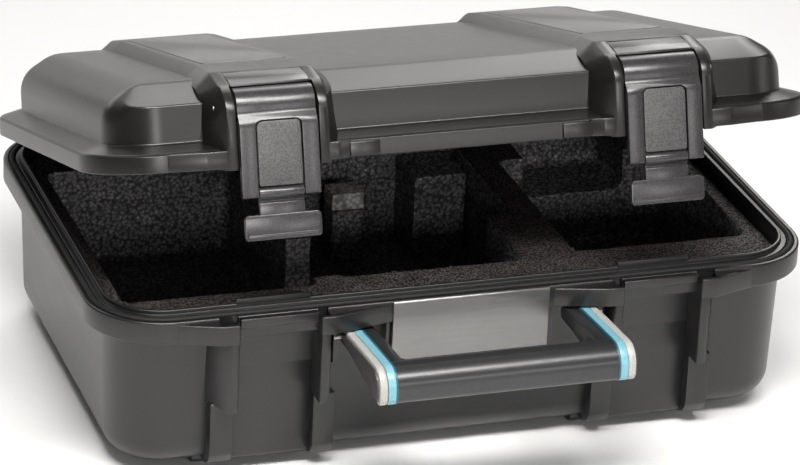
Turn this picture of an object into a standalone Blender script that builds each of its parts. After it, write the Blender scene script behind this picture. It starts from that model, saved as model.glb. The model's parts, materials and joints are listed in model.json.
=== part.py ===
"""Hard carrying case for a small drone: tray, lid, draw latches, handle and cut foam.

World frame in metres: +X along the case, -Y the latch side, +Z up, origin on the ground under the
middle of the whole case as it stands open. Sizes are in millimetres. Everything is drawn about the
middle of the tray with the lid closed; add() scales it to metres and moves it back by SHIFT_Y.
Each moving group hangs on an empty on its own axis, and the lid's empty is then turned open.
"""
import math

import bmesh
import bpy
from mathutils import Matrix

MM = 0.001
SHIFT_Y = 31.6

# tray: plan size at the rim, rim height, plan corner radius, underside, wall set-in, draft, edge
WIDTH, DEPTH, RIM_Z, RIM_R = 500.0, 326.0, 119.0, 51.0
BODY_Z, WALL_IN, WALL_DRAFT, EDGE_R = 6.0, 12.0, 2.5, 18.0
PANEL_Y, FIN_Y, BLOCK_Y, FRAME_Y = -150.2, -172.0, -158.5, -161.8
FIN_Z0, FIN_Z1, BOSS_Z = 53.5, 113.4, 116.6

# lid, closed
LID_W, LID_D, LID_R = 502.0, 329.0, 50.0
LID_Z, LID_TOP = 120.8, 175.6
HINGE_Y, HINGE_Z, LID_OPEN_DEG = 171.3, 115.2, 16.8
HINGE_R = 6.0

# draw latches, closed
LATCH_X, LATCH_HALF = 132.0, 26.0
PIVOT_Y, PIVOT_Z, BARREL_R, RECESS_R = -157.0, 159.0, 12.2, 13.0
ARM_Y, ARM_T, ARM_Z0, ARM_Z1 = -173.0, 5.0, 101.0, 153.6
LEVER_Y, LEVER_Z, LEVER_R = -169.6, 103.8, 2.6
CHANNEL_Y = -167.4

# handle, swung out
GRIP_X, STRIPE_X, CAP_X, SIDE_X = 75.3, 81.6, 87.2, 88.7
HANDLE_Y, HANDLE_Z, HUB_R = -160.0, 96.0, 5.6

PIN_R, BORE_R, GAP = 2.0, 2.3, 0.3
SIDES = ((-1, "l"), (1, "r"))

for old in list(bpy.data.objects):
    bpy.data.objects.remove(old, do_unlink=True)


def collection(name):
    made = bpy.data.collections.new(name)
    bpy.context.scene.collection.children.link(made)
    return made


CASE = collection("carrying_case")
CUTTERS = collection("cutters")
AXES = collection("axes")


def material(name, colour, roughness, metallic=0.0):
    mat = bpy.data.materials.new(name)
    mat.use_nodes = True
    shader = mat.node_tree.nodes["Principled BSDF"]
    shader.inputs["Base Color"].default_value = (*colour, 1.0)
    shader.inputs["Roughness"].default_value = roughness
    shader.inputs["Metallic"].default_value = metallic
    return mat


SHELL = material("shell_plastic", (0.045, 0.044, 0.045), 0.45)
TRIM = material("trim_plastic", (0.11, 0.11, 0.112), 0.5)
RUBBER = material("gasket_rubber", (0.012, 0.012, 0.013), 0.6)
FOAM = material("foam_black", (0.02, 0.02, 0.021), 0.95)
PALE = material("foam_pale", (0.45, 0.45, 0.44), 0.9)
STEEL = material("pin_steel", (0.62, 0.62, 0.61), 0.3, 1.0)
SATIN = material("label_satin", (0.55, 0.55, 0.56), 0.38, 1.0)
GRIP = material("grip_plastic", (0.07, 0.07, 0.072), 0.55)
BLUE = material("stripe_blue", (0.25, 0.55, 0.68), 0.45)
WHITE = material("cap_white", (0.8, 0.8, 0.77), 0.45)


# ---------------------------------------------------------------- shapes, in millimetres
def add(name, bm, mat, where=CASE):
    """Turn a finished bmesh into a named object."""
    bm.transform(Matrix.Translation((0.0, SHIFT_Y * MM, 0.0)) @ Matrix.Scale(MM, 4))
    bmesh.ops.recalc_face_normals(bm, faces=bm.faces)
    if bm.calc_volume(signed=True) < 0:
        bmesh.ops.reverse_faces(bm, faces=bm.faces)
    mesh = bpy.data.meshes.new(name)
    bm.to_mesh(mesh)
    bm.free()
    obj = bpy.data.objects.new(name, mesh)
    if mat:
        mesh.materials.append(mat)
    where.objects.link(obj)
    return obj


def tool(name, bm):
    """A hidden solid that is joined to, or cut from, a part."""
    obj = add(name, bm, None, CUTTERS)
    obj.hide_render = True
    obj.display_type = "WIRE"
    return obj


def box(x0, x1, y0, y1, z0, z1):
    bm = bmesh.new()
    size = Matrix.Diagonal((x1 - x0, y1 - y0, z1 - z0, 1.0))
    place = Matrix.Translation(((x0 + x1) / 2, (y0 + y1) / 2, (z0 + z1) / 2))
    bmesh.ops.create_cube(bm, size=1.0, matrix=place @ size)
    return bm


def rod(x0, x1, y, z, radius, sides=20):
    """Round bar lying along X."""
    bm = bmesh.new()
    place = Matrix.Translation(((x0 + x1) / 2, y, z)) @ Matrix.Rotation(math.pi / 2, 4, "Y")
    bmesh.ops.create_cone(bm, cap_ends=True, segments=sides, radius1=radius, radius2=radius,
                          depth=x1 - x0, matrix=place)
    return bm


def curve_mesh(curve, place):
    """Bmesh of a curve, with its caps welded on."""
    obj = bpy.data.objects.new("outline", curve)
    bpy.context.scene.collection.objects.link(obj)
    graph = bpy.context.evaluated_depsgraph_get()
    mesh = bpy.data.meshes.new_from_object(obj.evaluated_get(graph))
    bm = bmesh.new()
    bm.from_mesh(mesh)
    bmesh.ops.remove_doubles(bm, verts=bm.verts, dist=0.001)
    bm.transform(place)
    bpy.data.objects.remove(obj)
    bpy.data.meshes.remove(mesh)
    return bm


def spline(curve, points):
    line = curve.splines.new("POLY")
    line.points.add(len(points) - 1)
    for vertex, place in zip(line.points, points):
        vertex.co = (*place, 1.0)
    line.use_cyclic_u = True


def plate(outline, low, high, axes):
    """Extrude a flat outline from low to high. axes are where its x, y and depth point."""
    curve = bpy.data.curves.new("outline", "CURVE")
    curve.dimensions = "2D"
    curve.fill_mode = "BOTH"
    curve.extrude = (high - low) / 2
    spline(curve, [(x, y, 0.0) for x, y in outline])
    turn = Matrix(axes).transposed().to_4x4()
    bm = curve_mesh(curve, turn @ Matrix.Translation((0.0, 0.0, (low + high) / 2)))
    bmesh.ops.dissolve_faces(bm, faces=[face for face in bm.faces if len(face.verts) == 3])
    return bm


def along_x(outline, x0, x1):
    """Extrude a (y, z) outline along X."""
    return plate(outline, x0, x1, ((0, 1, 0), (0, 0, 1), (1, 0, 0)))


def along_y(outline, y0, y1):
    """Extrude an (x, z) outline along Y."""
    return plate(outline, -y1, -y0, ((1, 0, 0), (0, 0, 1), (0, -1, 0)))


def along_z(outline, z0, z1):
    """Extrude an (x, y) outline along Z."""
    return plate(outline, z0, z1, ((1, 0, 0), (0, 1, 0), (0, 0, 1)))


def loft(loops):
    """Skin over equal closed loops of unlike shape, capped at both ends."""
    bm = bmesh.new()
    rows = [[bm.verts.new(place) for place in loop] for loop in loops]
    for low, high in zip(rows, rows[1:]):
        for i, vertex in enumerate(low):
            j = (i + 1) % len(low)
            bm.faces.new((vertex, low[j], high[j], high[i]))
    bm.faces.new(rows[0])
    bm.faces.new(rows[-1])
    return bm


def arc(cy, cz, radius, start, end, steps):
    angles = [math.radians(start + (end - start) * i / steps) for i in range(steps + 1)]
    return [(cy + radius * math.cos(a), cz + radius * math.sin(a)) for a in angles]


def rounded(x0, x1, z0, z1, low, high, steps=4):
    """Rectangle outline with its lower and upper corner radii."""
    return (arc(x1 - high, z1 - high, high, 0, 90, steps)
            + arc(x0 + high, z1 - high, high, 90, 180, steps)
            + arc(x0 + low, z0 + low, low, 180, 270, steps)
            + arc(x1 - low, z0 + low, low, 270, 360, steps))


def rim_loop(width, depth, radius, row, steps=7):
    """Rounded rectangle in plan. row is (inset, z) all round, or (inset, z) at the ends, then
    (inset, z) along the front and back, which the corners blend."""
    end_in, end_z, side_in, side_z = row if len(row) == 4 else row + row
    loop = []
    for quarter in range(4):
        sx = 1 if quarter in (0, 3) else -1
        sy = 1 if quarter in (0, 1) else -1
        for i in range(steps + 1):
            a = math.radians(90 * (quarter + i / steps))
            nx, ny = math.cos(a), math.sin(a)
            t = min(max((abs(ny) - 0.45) / 0.5, 0.0), 1.0)
            t = t * t * (3 - 2 * t)
            inset = end_in + (side_in - end_in) * t
            reach = max(radius - inset, 5.0)
            extra = inset - (radius - reach)
            cx = sx * (width / 2 - radius - extra)
            cy = sy * (depth / 2 - radius - extra)
            loop.append((cx + reach * nx, cy + reach * ny, end_z + (side_z - end_z) * t))
    return loop


def tray(width, depth, radius, rows):
    return loft([rim_loop(width, depth, radius, row) for row in rows])


def combine(obj, tools, operation):
    for other in tools:
        mod = obj.modifiers.new(operation.lower(), "BOOLEAN")
        mod.operation = operation
        mod.solver = "EXACT"
        mod.object = other


def both(name, make):
    """The same tool, drawn for +X, on the right and mirrored on the left."""
    made = []
    for side, tag in SIDES:
        bm = make()
        if side < 0:
            bmesh.ops.scale(bm, vec=(-1.0, 1.0, 1.0), verts=bm.verts)
        made.append(tool(f"{name}_{tag}", bm))
    return made


def span(side, near, far):
    """X range for a piece that runs from near to far on the +X side."""
    return sorted((side * near, side * far))


def pivot(name, x, y, z, parent=None):
    """Empty on an axis; what hangs on it stays where it was drawn."""
    obj = bpy.data.objects.new(name, None)
    obj["at"] = (x * MM, (y + SHIFT_Y) * MM, z * MM)
    obj.location = obj["at"]
    AXES.objects.link(obj)
    if parent:
        hang([obj], parent)
    return obj


def hang(objects, parent):
    for obj in objects:
        obj.parent = parent
        obj.matrix_parent_inverse = Matrix.Translation([-v for v in parent["at"]])


# ---------------------------------------------------------------- tray
def tray_rows():
    """Section of the tray wall from the middle of the underside, over the rim, to the floor."""
    low = WALL_IN + WALL_DRAFT
    rows = []
    for degrees in (0, 30, 60, 90):
        a = math.radians(degrees)
        rows.append((low + EDGE_R * (1 - math.sin(a)), BODY_Z + EDGE_R * (1 - math.cos(a))))
    rows += [(WALL_IN, 101.0), (1.6, 102.4), (0.0, 104.6), (0.0, 117.8), (1.2, RIM_Z)]
    groove = [(3.4, RIM_Z), (3.4, 114.4), (8.6, 114.4), (8.6, RIM_Z)]
    ridge = [(12.4, RIM_Z), (12.6, 122.0), (14.4, 122.0), (15.4, RIM_Z)]
    inside = [(18.0, 24.0), (19.6, 17.0), (24.0, 12.0), (32.0, 10.0)]
    return rows + groove + ridge + inside


base = add("base_shell", tray(WIDTH, DEPTH, RIM_R, tray_rows()), SHELL)

# runs down the middle of the front wall and round its lower edge
WALL_ROOT = [(-147.2, 54.0), (-146.8, 24.0), (-144.7, 16.0), (-139.2, 10.2), (-131.0, 8.0)]


def skid(centre):
    """Runner under the tray, rounded at its ends and lower edges."""
    half = [(7.5, 0.0), (11.0, 1.2), (13.0, 4.0), (13.0, 8.0)]
    section = half + [(-x, z) for x, z in reversed(half)]
    length = 138.0
    ends = [(0.0, 0.86, 5.0), (4.0, 0.96, 1.6), (9.0, 1.0, 0.0)]
    rows = [(-length + y, s, z) for y, s, z in ends] + [(length - y, s, z) for y, s, z in reversed(ends)]
    return loft([[(centre + x * s, y, max(z, low)) for x, z in section] for y, s, low in rows])


def outer_fin():
    """Guard fin at a latch's outer side, with a sloped flank that meets the wall."""
    outline = [(159.8, FIN_Y), (166.0, FIN_Y), (177.0, PANEL_Y), (177.0, -148.5), (159.8, -148.5)]
    return along_z(outline, FIN_Z0, FIN_Z1)


def inner_fin():
    return box(98.0, 105.0, FIN_Y, -148.5, FIN_Z0, FIN_Z1)


def outer_boss():
    """Rim band running out to the outer fin."""
    outline = [(159.8, FIN_Y), (171.0, FIN_Y), (199.0, -162.6), (199.0, -160.6), (159.8, -160.6)]
    return along_z(outline, 103.0, BOSS_Z)


def inner_boss():
    """Bar over the handle's pocket, running out to the inner fin."""
    outline = [(105.0, FIN_Y), (97.0, FIN_Y), (88.0, -171.0), (74.0, -168.0), (62.0, -164.2),
               (56.6, -161.6), (56.6, -160.6), (105.0, -160.6)]
    return along_z(outline, 103.4, BOSS_Z)


def fin_block(x0, x1):
    """Thick lower end of a fin, carried down and round to a skid."""
    outline = [(BLOCK_Y, 54.2), (-148.0, 54.2), *WALL_ROOT, (-131.0, 6.6), (-147.0, 6.6),
               (-155.0, 11.0), (BLOCK_Y, 17.0)]
    return along_x(outline, x0, x1)


def latch_panel():
    outline = [(PANEL_Y, 99.0), (-148.6, 99.0), *WALL_ROOT, (-131.0, 7.0), (-147.6, 7.0), (PANEL_Y, 10.5)]
    return along_x(outline, 104.0, 160.5)


def keeper_lip():
    """Ledge that a latch pulls down on."""
    outline = [(-167.2, 112.4), (-161.0, 109.0), (-161.0, 118.4), (-166.4, 118.4), (-167.2, 117.6)]
    return along_x(outline, 106.2, 158.4)


def knuckle(x0):
    outline = arc(HINGE_Y, HINGE_Z, HINGE_R, -90, 120, 10) + [(161.5, 118.6), (161.5, 105.0)]
    return along_x(outline, x0, x0 + 14.0)


combine(base, [
    *both("skid_outer", lambda: skid(170.0)),
    *both("skid_inner", lambda: skid(96.0)),
    *both("fin_outer", outer_fin),
    *both("fin_inner", inner_fin),
    *both("boss_outer", outer_boss),
    *both("boss_inner", inner_boss),
    *both("block_outer", lambda: fin_block(159.9, 175.2)),
    *both("block_inner", lambda: fin_block(90.5, 104.9)),
    *both("latch_panel", latch_panel),
    *both("keeper_lip", keeper_lip),
    *both("keeper_ridge", lambda: box(107.0, 157.4, -150.5, -148.6, 118.0, 125.3)),
    *both("knuckle_outer", lambda: knuckle(145.0)),
    *both("knuckle_inner", lambda: knuckle(106.0)),
    tool("handle_frame", along_x([(FRAME_Y, 78.0), (-149.0, 75.0), (-149.0, 113.8), (FRAME_Y, 113.8)],
                                 -94.2, 94.2)),
], "UNION")
combine(base, [
    *both("pivot_pocket", lambda: box(58.0, 90.2, -170.0, -149.8, 70.0, 103.4)),
    *both("frame_groove", lambda: box(94.2, 98.0, -174.0, -158.8, 70.0, 103.4)),
    *both("rim_notch_inner", lambda: box(98.6, 105.6, -168.4, -160.4, 112.6, 125.0)),
    *both("rim_notch_outer", lambda: box(159.0, 172.0, -168.4, -160.4, 112.6, 125.0)),
    *both("handle_pin_hole", lambda: rod(86.0, 93.7, HANDLE_Y, HANDLE_Z, BORE_R)),
    *both("hinge_pin_hole", lambda: rod(104.5, 160.5, HINGE_Y, HINGE_Z, BORE_R)),
    *both("fin_pin_hole", lambda: rod(162.0, 182.0, -157.0, 87.0, BORE_R, 14)),
    tool("label_seat", box(-55.0, 55.0, -175.0, -160.1, 60.0, 130.0)),
], "DIFFERENCE")

add("label_plate", box(-54.2, 54.2, -164.6, -160.4, 76.4, 118.9), SATIN)


def rim_gasket():
    """Rubber cord that lies in the rim's groove."""
    curve = bpy.data.curves.new("gasket", "CURVE")
    curve.dimensions = "3D"
    curve.bevel_depth = 2.3
    curve.bevel_resolution = 2
    spline(curve, rim_loop(WIDTH, DEPTH, RIM_R, (6.0, 117.7)))
    return add("rim_gasket", curve_mesh(curve, Matrix.Identity(4)), RUBBER)


rim_gasket()

# ---------------------------------------------------------------- foam in the tray
BAY_Z, POST_Z, OVER = 42.0, 66.0, 125.0
foam = add("base_foam", tray(WIDTH, DEPTH, RIM_R, (
    (34.0, 10.4), (26.0, 12.8), (21.0, 19.0), (19.0, 26.0), (17.4, 60.0), (16.6, 111.0), (19.0, 112.4))), FOAM)
combine(foam, [
    tool("bay_left", box(-222.0, -91.0, -112.0, 104.0, BAY_Z, OVER)),
    tool("bay_middle", box(-72.0, 56.0, -104.0, 104.0, BAY_Z, OVER)),
    tool("bay_middle_side", box(40.0, 74.0, -30.0, 104.0, BAY_Z, OVER)),
    tool("bay_link", box(-100.0, -60.0, -100.0, -40.0, 70.0, OVER)),
    tool("bay_right", box(96.0, 219.0, -99.0, 58.0, BAY_Z, OVER)),
    tool("bay_right_step", box(116.0, 190.0, 40.0, 112.0, 82.0, OVER)),
], "DIFFERENCE")
add("foam_post_left", box(-216.0, -200.0, -60.0, -44.0, BAY_Z + GAP, POST_Z), FOAM)
add("foam_post_middle", box(-30.0, -14.0, -40.0, -20.0, BAY_Z + GAP, POST_Z), FOAM)
add("foam_rest_middle", box(34.0, 73.6, 60.0, 103.6, BAY_Z + GAP, 104.0), FOAM)
add("foam_post_back", box(-26.0, -2.0, 62.0, 84.0, BAY_Z + GAP, 82.0), FOAM)
add("foam_pale_block", box(-26.0, -2.0, 62.0, 84.0, 82.0 + GAP, 95.0), PALE)

# ---------------------------------------------------------------- lid
# wall section from the middle of the top, down the outside, under the flange and up the inside;
# rows with four values have a sharper shoulder along the front and back than at the ends
LID_ROWS = (
    (70.0, LID_TOP), (41.2, 175.0, 42.0, 175.0), (34.7, 174.1, 34.5, 174.0), (28.7, 171.7, 28.0, 171.8),
    (23.5, 167.7, 22.5, 168.8), (19.5, 162.5, 18.6, 165.4), (17.0, 156.4, 16.3, 162.2),
    (16.2, 150.0, 16.2, 157.0), (16.0, 139.0), (15.0, 137.2), (12.0, 136.2), (1.6, 133.2), (0.0, 131.6),
    (0.0, LID_Z), (11.3, LID_Z), (11.3, 127.6), (19.8, 127.6), (19.9, 150.0, 19.9, 157.0),
    (22.6, 160.7, 21.5, 163.2), (30.6, 168.4, 30.0, 168.4), (41.3, 171.4, 42.0, 171.4), (70.0, 172.0))
lid = add("lid_shell", tray(LID_W, LID_D, LID_R, LID_ROWS), SHELL)

# side view of a latch band: its outer face, and where its sloped flanks meet the lid
BAND_FACE = ((-171.0, 119.4), (-171.0, 134.0), (-171.0, 146.0), (-171.0, 158.0), (-168.6, 164.5),
             (-162.0, 170.6), (-149.0, 176.4), (-132.0, 180.6), (-112.0, 182.0), (98.0, 182.0),
             (118.0, 181.4), (138.0, 177.5), (151.0, 169.0), (156.0, 156.0), (157.0, 134.0))
BAND_ROOT = ((-162.5, 120.9), (-162.5, 131.2), (-148.0, 138.0), (-148.0, 158.0), (-146.5, 164.0),
             (-141.0, 168.5), (-132.0, 172.0), (-120.0, 173.6), (-106.0, 174.0), (98.0, 174.0),
             (112.0, 173.8), (130.0, 172.0), (141.0, 168.5), (147.0, 158.0), (147.0, 137.0))
BAND_Z = 182.0


def latch_band():
    """Raised strip over the lid that carries one latch; its flanks slope out to the dome."""
    return loft([[(87.5, *root), (98.5, *face), (166.5, *face), (177.5, *root)]
                 for face, root in zip(BAND_FACE, BAND_ROOT)])


def pivot_housing():
    """Thickened wall behind the latch barrel."""
    return along_x(arc(PIVOT_Y, PIVOT_Z, RECESS_R + 3.4, -110, 70, 14), 99.0, 166.0)


def hinge_tab():
    outline = arc(HINGE_Y, HINGE_Z, HINGE_R, -150, 60, 10) + [(176.0, 129.0), (163.0, 131.0), (163.0, 121.6)]
    return along_x(outline, 120.6, 144.4)


def flange_boss_outer():
    outline = [(164.0, -170.6), (178.0, -170.1), (193.0, -167.0), (206.0, -164.2), (206.0, -160.7),
               (164.0, -160.7)]
    return along_z(outline, LID_Z + 0.2, 132.4)


def flange_boss_inner():
    outline = [(101.0, -170.5), (92.3, -169.9), (82.3, -165.8), (82.3, -161.3), (101.0, -161.3)]
    return along_z(outline, LID_Z + 0.3, 131.9)


def latch_recess():
    """Channel down the band's front that the latch arm lies in, with the barrel's hollow above."""
    half = LATCH_HALF + 0.6
    low = 360 - math.degrees(math.acos((CHANNEL_Y - PIVOT_Y) / RECESS_R))
    outline = [(-185.0, 116.0), (CHANNEL_Y, 116.0), *arc(PIVOT_Y, PIVOT_Z, RECESS_R, low, 450.0, 18),
               (PIVOT_Y - GAP, 190.0), (-185.0, 190.0)]
    return along_x(outline, LATCH_X - half, LATCH_X + half)


def cover_recess():
    outline = [(-157.2, 171.3), (-149.0, 174.1), (-136.6, 177.0), (-136.6, 190.0), (-157.2, 190.0)]
    return along_x(outline, LATCH_X - 26.6, LATCH_X + 26.6)


combine(lid, [
    *both("flange_boss_outer", flange_boss_outer),
    *both("flange_boss_inner", flange_boss_inner),
    *both("latch_band", latch_band),
    *both("pivot_housing", pivot_housing),
    *both("hinge_tab", hinge_tab),
    *both("front_boss", lambda: box(63.0, 83.0, -166.6, -160.0, LID_Z + 0.4, 131.6)),
], "UNION")
combine(lid, [
    *both("latch_recess", latch_recess),
    *both("cover_recess", cover_recess),
    *both("plate_recess", lambda: box(102.8, 162.2, -97.4, 98.4, BAND_Z - 2.0, 190.0)),
    *both("latch_pin_hole", lambda: rod(84.0, 186.0, PIVOT_Y, PIVOT_Z, BORE_R)),
    *both("tab_pin_hole", lambda: rod(118.0, 147.0, HINGE_Y, HINGE_Z, BORE_R)),
], "DIFFERENCE")

lid_foam = add("lid_foam", tray(LID_W, LID_D, LID_R, (
    (31.0, 124.0), (29.0, 126.0), (28.0, 150.0), (34.0, 163.0), (45.0, 168.0))), FOAM)

lid_axis = pivot("lid_axis", 0.0, HINGE_Y, HINGE_Z)
hang([lid, lid_foam], lid_axis)


# ---------------------------------------------------------------- latches, hinge pins and plates
def arm_outline():
    """Side view of a latch arm: barrel, a step, and the flat plate that hangs from it."""
    back = ARM_Y + ARM_T
    front = [(-169.8, 155.4), (ARM_Y + 0.3, 154.2), (ARM_Y, ARM_Z1), (ARM_Y, ARM_Z0 + 1.4),
             (ARM_Y + 1.2, ARM_Z0), (back, ARM_Z0), (back, 152.2)]
    return (arc(PIVOT_Y, PIVOT_Z, BARREL_R, 92, 186, 9) + front
            + arc(PIVOT_Y, PIVOT_Z, HUB_R, 232, 438, 12))


def latch_arm(side, tag):
    low, high = span(side, LATCH_X - LATCH_HALF, LATCH_X + LATCH_HALF)
    arm = add(f"latch_arm_{tag}", along_x(arm_outline(), low, high), TRIM)
    left, right = span(side, LATCH_X - 15.3, LATCH_X + 15.3)
    lever_low, lever_high = span(side, LATCH_X - 22.4, LATCH_X + 22.4)
    combine(arm, [
        tool(f"window_{tag}", along_y(rounded(left, right, 90.0, 150.7, 1.0, 4.0), -180.0, -166.5)),
        tool(f"arm_bore_{tag}", rod(low - 4.0, high + 4.0, PIVOT_Y, PIVOT_Z, BORE_R)),
        tool(f"lever_seat_{tag}", rod(lever_low, lever_high, LEVER_Y, LEVER_Z, 1.45, 14)),
    ], "DIFFERENCE")
    return arm


def latch_lever(side, tag):
    """T-shaped pull tab whose neck ends in a small barrel round the lever pin."""
    low, high = span(side, LATCH_X - 25.8, LATCH_X + 25.8)
    tab = along_y(rounded(low, high, 73.5, 90.0, 2.6, 3.4), ARM_Y + 0.5, ARM_Y + 4.3)
    lever = add(f"latch_lever_{tag}", tab, TRIM)
    neck_low, neck_high = span(side, LATCH_X - 14.2, LATCH_X + 14.2)
    neck = [(ARM_Y + 0.6, 86.0), (ARM_Y + 4.2, 86.0), (ARM_Y + 5.4, 98.0),
            *arc(LEVER_Y, LEVER_Z, LEVER_R, -20, 200, 9), (ARM_Y + 1.4, 98.2), (ARM_Y + 0.6, 96.6)]
    combine(lever, [tool(f"lever_neck_{tag}", along_x(neck, neck_low, neck_high))], "UNION")
    bore = rod(neck_low - 3.0, neck_high + 3.0, LEVER_Y, LEVER_Z, 1.45, 14)
    combine(lever, [tool(f"lever_bore_{tag}", bore)], "DIFFERENCE")
    return lever


def latch_button(side, tag):
    low, high = span(side, LATCH_X - 14.9, LATCH_X + 14.9)
    face = rounded(low, high, 107.8, 150.2, 1.5, 3.8)
    return add(f"latch_button_{tag}", along_y(face, ARM_Y + 0.5, ARM_Y + 3.7), TRIM)


def lid_trim(side, tag):
    """Cover plate on the band, cover strip over the barrel, and the latch's pivot pin."""
    low, high = span(side, 103.1, 161.9)
    plate_piece = add(f"band_plate_{tag}", box(low, high, -97.1, 98.1, BAND_Z - 1.7, BAND_Z + 0.3), TRIM)
    low, high = span(side, LATCH_X - 26.3, LATCH_X + 26.3)
    strip = [(-156.8, 173.0), (-149.0, 176.2), (-137.0, 179.2), (-137.0, 177.4), (-149.0, 174.5),
             (-156.8, 171.8)]
    cover = add(f"latch_cover_{tag}", along_x(strip, low, high), TRIM)
    low, high = span(side, 94.0, 171.0)
    pin = add(f"latch_pin_{tag}", rod(low, high, PIVOT_Y, PIVOT_Z, PIN_R), STEEL)
    return [plate_piece, cover, pin]


for side, tag in SIDES:
    low, high = span(side, 105.6, 159.4)
    add(f"hinge_pin_{tag}", rod(low, high, HINGE_Y, HINGE_Z, PIN_R), STEEL)
    low, high = span(side, 162.3, 172.6)
    add(f"fin_pin_{tag}", rod(low, high, -157.0, 87.0, PIN_R, 14), STEEL)
    hang(lid_trim(side, tag), lid_axis)
    latch_axis = pivot(f"latch_axis_{tag}", side * LATCH_X, PIVOT_Y, PIVOT_Z, lid_axis)
    low, high = span(side, LATCH_X - 22.1, LATCH_X + 22.1)
    lever_pin = add(f"lever_pin_{tag}", rod(low, high, LEVER_Y, LEVER_Z, 1.15, 14), STEEL)
    hang([latch_arm(side, tag), latch_button(side, tag), lever_pin], latch_axis)
    lever_axis = pivot(f"lever_axis_{tag}", side * LATCH_X, LEVER_Y, LEVER_Z, latch_axis)
    hang([latch_lever(side, tag)], lever_axis)


# ---------------------------------------------------------------- carrying handle, swung out
def nose(shrink):
    """Front of the handle's side view, from the top round to the lower edge."""
    return (arc(-229.5, 94.0, 13.4 - shrink, 85, 180, 6) + arc(-237.2, 89.3, 5.8 - shrink, 180, 262, 4))


def arm_side(shrink):
    """Side view of a handle arm: hub, tapering arm and rounded nose."""
    top = [(-175.0, 103.0 - shrink), (-200.0, 105.3 - shrink)]
    under = [(-224.0, 85.4 + shrink), (-203.0, 88.0 + shrink), (-180.0, 91.0 + shrink)]
    return arc(HANDLE_Y, HANDLE_Z, HUB_R - shrink, 262, 450, 9) + top + nose(shrink) + under


def handle():
    section = nose(0.4) + arc(-226.5, 92.2, 7.6, 270, 360, 3) + arc(-226.5, 99.5, 7.6, 0, 90, 3)
    grip = add("handle_grip", along_x(section, -GRIP_X, GRIP_X), GRIP)
    combine(grip, both("grip_arm", lambda: along_x(arm_side(0.4), 66.0, GRIP_X)), "UNION")
    combine(grip, both("grip_bore", lambda: rod(71.0, 80.0, HANDLE_Y, HANDLE_Z, BORE_R)), "DIFFERENCE")
    pieces = [grip]
    layers = (("stripe", GRIP_X + GAP, STRIPE_X, 0.0, BLUE), ("cap", STRIPE_X + GAP, CAP_X, 0.0, WHITE),
              ("side", CAP_X + GAP, SIDE_X, 2.2, GRIP))
    for side, tag in SIDES:
        for name, near, far, shrink, mat in layers:
            low, high = span(side, near, far)
            piece = add(f"handle_{name}_{tag}", along_x(arm_side(shrink), low, high), mat)
            bore = rod(low - 1.0, high + 1.0, HANDLE_Y, HANDLE_Z, BORE_R)
            combine(piece, [tool(f"handle_{name}_bore_{tag}", bore)], "DIFFERENCE")
            pieces.append(piece)
        low, high = span(side, 71.4, 93.4)
        pieces.append(add(f"handle_pin_{tag}", rod(low, high, HANDLE_Y, HANDLE_Z, PIN_R), STEEL))
    return pieces


hang(handle(), pivot("handle_axis", 0.0, HANDLE_Y, HANDLE_Z))

lid_axis.rotation_euler.x = -math.radians(LID_OPEN_DEG)
# tools that shape the lid and the latches open with them
for obj in CUTTERS.objects:
    for owner in list(CASE.objects):
        if any(mod.object == obj for mod in owner.modifiers) and owner.parent:
            hang([obj], owner.parent)

for obj in CASE.objects:
    obj.data.shade_smooth()
    obj.data.set_sharp_from_angle(angle=math.radians(32))
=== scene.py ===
"""Finished look of the hard carrying case: moulded tray and lid, draw latches, handle and cut foam.

Shapes are drawn in millimetres about the middle of the tray with the lid closed, and are then put on
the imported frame: shifted to it from the lid hinge's position, and the lid's pieces turned open.
"""
import json
import math

import bpy
import bmesh
from mathutils import Matrix, Vector, noise


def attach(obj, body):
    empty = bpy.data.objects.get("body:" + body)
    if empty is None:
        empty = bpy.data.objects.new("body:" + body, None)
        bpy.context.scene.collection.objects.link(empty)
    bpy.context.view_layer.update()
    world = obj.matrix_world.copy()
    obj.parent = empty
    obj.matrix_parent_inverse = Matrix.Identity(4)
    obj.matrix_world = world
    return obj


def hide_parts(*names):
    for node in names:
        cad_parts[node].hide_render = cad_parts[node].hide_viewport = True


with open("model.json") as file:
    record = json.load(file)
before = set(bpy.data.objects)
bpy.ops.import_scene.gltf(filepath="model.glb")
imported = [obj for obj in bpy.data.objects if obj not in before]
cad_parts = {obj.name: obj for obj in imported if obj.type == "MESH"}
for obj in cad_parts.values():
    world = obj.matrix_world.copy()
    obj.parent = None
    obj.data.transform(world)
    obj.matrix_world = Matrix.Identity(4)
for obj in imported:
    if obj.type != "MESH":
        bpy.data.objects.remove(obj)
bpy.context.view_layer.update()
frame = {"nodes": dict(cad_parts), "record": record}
JOINTS = {joint["name"]: joint for joint in frame["record"]["behaviour"]["joints"]}
MM = 0.001

# ---------------------------------------------------------------- driving sizes, in millimetres
WIDTH, DEPTH, RIM_Z, RIM_R = 500.0, 326.0, 119.0, 51.0
BODY_Z, WALL_IN, WALL_DRAFT, EDGE_R = 6.0, 12.0, 2.5, 18.0
PANEL_Y, FIN_Y, BLOCK_Y, FRAME_Y = -150.2, -172.0, -158.5, -161.8
FIN_Z0, FIN_TOP, BOSS_Z = 53.5, 108.0, 116.6
LID_W, LID_D, LID_R = 502.0, 329.0, 50.0
LID_Z, LID_TOP = 120.8, 175.6
HINGE_Y, HINGE_Z, HINGE_R = 171.3, 115.2, 6.0
LATCH_X, LATCH_HALF = 132.0, 26.0
PIVOT_Y, PIVOT_Z, BARREL_R, RECESS_R = -157.0, 159.0, 12.2, 13.0
ARM_Y, ARM_T, ARM_Z0 = -173.0, 5.0, 101.0
LEVER_Y, LEVER_Z, KNUCKLE_R = -169.6, 103.8, 3.6
GRIP_X, STRIPE_X, CAP_X, SIDE_X = 75.3, 81.6, 87.2, 88.7
HANDLE_Y, HANDLE_Z, HUB_R = -160.0, 96.0, 5.6
BAND_Z = 182.0
SIDES = ((-1, "l"), (1, "r"))

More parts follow.
